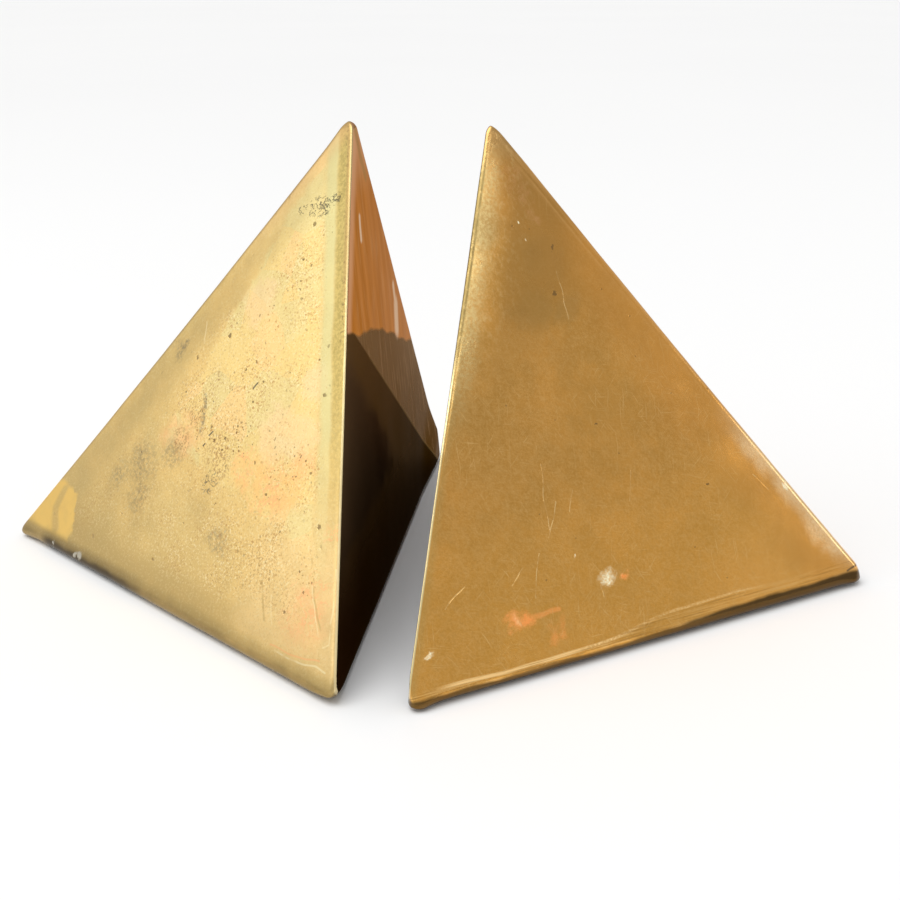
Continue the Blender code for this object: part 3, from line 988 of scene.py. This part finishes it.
def amber_glints(look):
    """Painted glints: small pale spots, and two orange painted flares low down. Gives both kinds."""
    here = look.here
    # Painted glints: small pale spots.
    glint = look.blotches((83.8, 19.3, 3.4), (134, 11.6, 1.1), (91, 26.5, 0.7), (23.0, 31.2, 1.9), soft=0.1)
    specks = look.strokes(0.3, ((86.5, 109.6), (86.4, 109.3)), ((85.7, 105.4), (85.7, 105.2)))
    glint = look.either(glint, specks)
    sparkle = look.cloud(0.7, 0.42, 0.56, 0.35, 1.0, rough=0.7)
    look.tint((1.0, 0.92, 0.62), glint, sparkle, here)
    # Painted flares: two orange glints low down with a tail, and their paler cores.
    trail = look.strokes(1.0, ((112.5, 14.2), (106.8, 14.6), (99, 14.6)))
    flare = look.blotches((111, 14.2, 3.4), (108, 14.6, 2.8), (78.8, 19.2, 1.9), soft=0.1)
    faint = look.blotches((101.5, 9.4, 3.0), (98.5, 10, 2.6), soft=0.0)
    flare = look.either(flare, look.times(trail, 0.55), look.times(faint, 0.55))
    look.tint((1.0, 0.34, 0.075), flare, look.step(sparkle, 0, 1, 0.6, 1), here)
    core = look.blotches((110.6, 14.4, 2.2), soft=0.0)
    look.tint((1.0, 0.58, 0.24), core, sparkle, here, 0.8)
    return look.either(glint, look.times(flare, 0.85))


def amber_belt(look, speckle):
    """Streaks along the foot under one painted highlight line on top of the foot rounding, and hairlines all
    over. Gives the line.
    """
    u, height, here = look.u, look.height, look.here
    along_foot = look.vector("MULTIPLY", look.flat, (0.025, 1.0, 1.0))
    rolled = look.noise(0.6, rough=0.6, vector=along_foot)
    top = look.plus(look.uneven(height, 2.4, 32, detail=2), look.step(u, 92, 66, 0.0, -2.6))
    belt = look.times(look.step(top, 5.6, 4.8), look.step(u, 74, 94, 0.45, 1.0), here)
    look.tint((1.0, 0.62, 0.23), look.step(rolled, 0.50, 0.59), belt, 0.70)
    look.tint((0.34, 0.19, 0.055), look.step(rolled, 0.47, 0.40), belt, 0.70)
    # Painted highlight: one bright line on top of the foot rounding.
    painted_crest_line = look.times(
        look.step(look.math("ABSOLUTE", look.plus(top, -5.0)), 0.6, 0.15),
        look.step(u, 32, 50),
        look.step(u, 136, 128),
        here,
        look.step(rolled, 0.40, 0.52, 0.45, 1.0),
        look.step(u, 70, 92, 0.55, 1.0),
        look.either(speckle, look.step(u, 85, 100)),
    )
    look.tint((1.0, 0.66, 0.27), painted_crest_line, 0.9)
    patchy = look.cloud(22, 0.42, 0.60, 0.35, 1.0)
    kinds = ((62, 8, 0.26), (-38, 6, 0.24), (98, 13, 0.26), (15, 7, 0.24))
    hairs = look.either(*(look.hairlines(*kind) for kind in kinds))
    look.tint((1.0, 0.66, 0.27), hairs, patchy, look.step(height, 85, 45, 0.4, 1.0), 0.45)
    return painted_crest_line


def amber_specks(look):
    """A few dark dots in known places, and small ones all over."""
    dots = look.blotches((79, 102.6, 0.8), (82, 92, 0.7), (48.5, 35.5, 0.9), (77, 57, 0.6), soft=0.5)
    away, chance = look.cells(4.5)
    fly = look.times(look.step(away, 0.075, 0.04), look.step(chance, 0.62, 0.7))
    spots = look.either(look.times(dots, look.here), look.times(fly, 0.7))
    look.tint((0.20, 0.12, 0.05), spots, 0.7)
    return spots


def amber_foot(look):
    """A painted dark reflection of shaded floor along the foot, which rises towards the tip, and the notch on
    the tip.
    """
    # Painted shade: a dark reflection of shaded floor along the foot, rising towards the tip.
    lip = look.uneven(look.height, 1.2, 9, detail=2)
    to_tip = look.step(look.u, 85, 35)
    under = look.step(look.math("SUBTRACT", lip, look.times(to_tip, 1.5)), 3.5, 2.5)
    look.tint((0.070, 0.042, 0.017), under, look.plus(0.86, look.times(to_tip, 0.08)))
    notch = look.strokes(0.45, ((5.4, 6.1), (8.6, 4.9)))
    look.tint((0.13, 0.095, 0.06), notch, look.here, 0.75)


def book_face_brass(name, planes, corners):
    """The book faces: mirror-polished brass with a painted reflection: coppery above, near black at the foot,
    the other book end's outline, and bright and dark streaks painted in.
    """
    look = Look(name, specular_tint=(0.57, 0.41, 0.29))
    look.shader.inputs["Specular IOR Level"].default_value = 0.0
    look.on_face(corners, ("front", "back"), ragged=0.5)
    u, v = look.u, look.v
    upright = look.vector("MULTIPLY", look.flat, (1.0, 0.10, 1.0))
    from_front = look.inside(planes["front"])
    rolling = look.times(look.noise(26, detail=2), 12)
    # Painted reflection: coppery above a wandering line, near black below it, and the other book end's
    # outline as a slanting edge.
    painted_copper_reflection = look.step(look.plus(v, rolling, look.times(u, 0.31)), 96.9, 98.1)
    slant = look.plus(v, look.times(u, 0.742))
    painted_reflected_outline = look.step(slant, 115.5, 116.5)
    depth = look.step(look.uneven(v, 16, 25, detail=2), 14, 66)
    painted_dark_reflection = look.mix(depth, (0.010, 0.004, 0.002), (0.13, 0.075, 0.035))
    painted_dark_reflection = look.mix(painted_reflected_outline, painted_dark_reflection, look.mix(depth, (0.07, 0.04, 0.022), (0.23, 0.155, 0.095)))
    brushing = look.cloud(4, 0.35, 0.7, detail=4, vector=upright)
    look.color(look.mix(painted_copper_reflection, painted_dark_reflection, look.mix(brushing, (0.50, 0.19, 0.060), (0.66, 0.28, 0.10))))
    # Painted reflection: a thin light line along that painted outline, and paler copper towards the front
    # edge and the top.
    line = look.step(look.math("ABSOLUTE", look.plus(slant, -116)), 0.8, 0.3)
    look.tint((0.30, 0.22, 0.10), line, look.step(v, 66, 60), 0.4)
    look.tint((0.95, 0.62, 0.46), look.step(from_front, 6, 2), painted_copper_reflection, 0.6)
    look.tint((0.86, 0.58, 0.42), look.step(look.uneven(v, 8, 12, detail=2), 107, 118), 0.50)
    # Painted dark streak in the reflection.
    shadow = look.strokes(2.2, ((83, 119), (86, 112), (90, 107)))
    look.tint((0.34, 0.26, 0.13), shadow, 0.55)
    hazy = look.cloud(1.5, 0.52, 0.70, 0.0, 0.22, detail=4, vector=upright)
    look.tint((0.85, 0.60, 0.38), hazy, look.either(painted_copper_reflection, painted_reflected_outline))
    # Painted reflection of bright streaks.
    bright = look.either(
        look.strokes(2.0, ((112, 72), (113, 66))),
        look.strokes(4.0, ((113, 66), (111, 60))),
        look.strokes(1.6, ((78, 98), (77, 93))),
    )
    look.tint((1.0, 0.88, 0.76), bright, 0.9)
    # Metallic drops where the painted reflection is dark, so that it stays dark.
    dark_mirror = look.mix(painted_reflected_outline, (0.16, 0.16, 0.16), (0.45, 0.45, 0.45))
    mirror = look.mix(look.either(painted_copper_reflection, bright), dark_mirror, (1.0, 1.0, 1.0))
    look.put(look.shader.inputs["Metallic"], mirror)
    look.rough(look.cloud(10, 0.35, 0.65, 0.06, 0.12))
    look.bump((look.noise(20, detail=2), 0.12), (look.noise(0.6, detail=2), 0.002))
    return look.material


def rough_cast(name):
    """The unworked inside of a casting, and its ground rim."""
    look = Look(name, metallic=1.0)
    grain = look.noise(0.8, detail=4, rough=0.7)
    lumps = look.noise(5)
    look.color(look.mix(look.step(lumps, 0.3, 0.7), (0.34, 0.24, 0.10), (0.52, 0.38, 0.16)))
    look.rough(look.step(grain, 0.3, 0.7, 0.45, 0.8))
    look.bump((lumps, 0.3), (grain, 0.12))
    return look.material


def green_felt():
    look = Look("felt", roughness=0.95)
    lengthways = look.vector("MULTIPLY", look.place, (1.0, 0.35, 1.0))
    fibre = look.noise(0.35, detail=4, rough=0.7, vector=lengthways)
    clump = look.noise(2.5, detail=4, rough=0.6)
    color = look.mix(look.step(fibre, 0.35, 0.65), (0.012, 0.045, 0.024), (0.045, 0.13, 0.07))
    look.color(look.mix(look.step(clump, 0.4, 0.65, 0, 0.4), color, (0.07, 0.15, 0.09)))
    look.shader.inputs["Sheen Weight"].default_value = 0.4
    look.shader.inputs["Sheen Roughness"].default_value = 0.5
    look.bump((clump, 0.15), (fibre, 0.12))
    return look.material


def brushed_steel():
    look = Look("steel", metallic=1.0)
    along = look.noise(0.4, vector=look.vector("MULTIPLY", look.place, (1.0, 0.03, 1.0)))
    blotch = look.noise(14, detail=4)
    color = look.mix(look.step(along, 0.35, 0.65), (0.36, 0.36, 0.36), (0.50, 0.49, 0.47))
    look.color(look.mix(look.step(blotch, 0.5, 0.7, 0, 0.4), color, (0.30, 0.24, 0.18)))
    look.rough(look.step(blotch, 0.3, 0.7, 0.30, 0.50))
    look.bump((along, 0.008))
    return look.material


def zinc_plate():
    look = Look("zinc", metallic=1.0)
    bloom = look.noise(1.6)
    look.color(look.mix(look.step(bloom, 0.35, 0.65), (0.60, 0.56, 0.44), (0.66, 0.66, 0.64)))
    look.rough(look.step(bloom, 0.3, 0.7, 0.25, 0.45))
    look.bump((look.noise(0.3, detail=2), 0.006))
    return look.material


def cast_iron():
    look = Look("iron", metallic=0.6)
    grain = look.noise(0.7, detail=5, rough=0.7)
    rust = look.cloud(9, 0.52, 0.66, detail=5, rough=0.6)
    color = look.mix(look.step(grain, 0.3, 0.7), (0.06, 0.058, 0.056), (0.14, 0.135, 0.13))
    look.color(look.mix(look.times(rust, 0.6), color, (0.16, 0.065, 0.03)))
    look.rough(look.step(grain, 0.3, 0.7, 0.65, 0.9))
    look.bump((grain, 0.15), (look.noise(4), 0.25))
    return look.material


def finish_inner_pieces():
    """Gives every CAD node that stays its own worked-out material."""
    finishes = {"felt": green_felt(), "base_plate": brushed_steel(), "screw": zinc_plate()}
    finishes |= {"ballast": cast_iron(), "ballast_bolt": finishes["screw"]}
    for name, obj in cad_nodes.items():
        piece = name.split("_", 1)[1]
        if piece == "shell":
            continue
        kind = piece if piece in finishes else piece.split("_")[0]
        for slot in obj.material_slots:
            slot.material = finishes[kind]


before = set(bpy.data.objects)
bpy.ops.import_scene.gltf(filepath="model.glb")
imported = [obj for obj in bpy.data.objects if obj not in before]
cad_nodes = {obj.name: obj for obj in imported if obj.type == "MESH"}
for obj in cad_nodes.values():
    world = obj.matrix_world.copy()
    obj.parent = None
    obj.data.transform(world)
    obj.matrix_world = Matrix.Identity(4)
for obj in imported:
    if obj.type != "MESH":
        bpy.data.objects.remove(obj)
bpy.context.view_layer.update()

make_camera()
make_stage()
for side, outer_brass in (("left", satin_brass), ("right", amber_brass)):
    node = f"{side}_shell"
    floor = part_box(node)[0].z
    planes = cad_planes(node)
    corners = pyramid_corners(planes, floor)
    outer = outer_brass(f"{side}_outer_brass", planes, corners, floor)
    book = book_face_brass(f"{side}_book_brass", planes, corners)
    make_shell(side, planes, floor, (outer, book, rough_cast(f"{side}_inner_brass")))
finish_inner_pieces()
bpy.context.scene.view_settings.view_transform = "Standard"
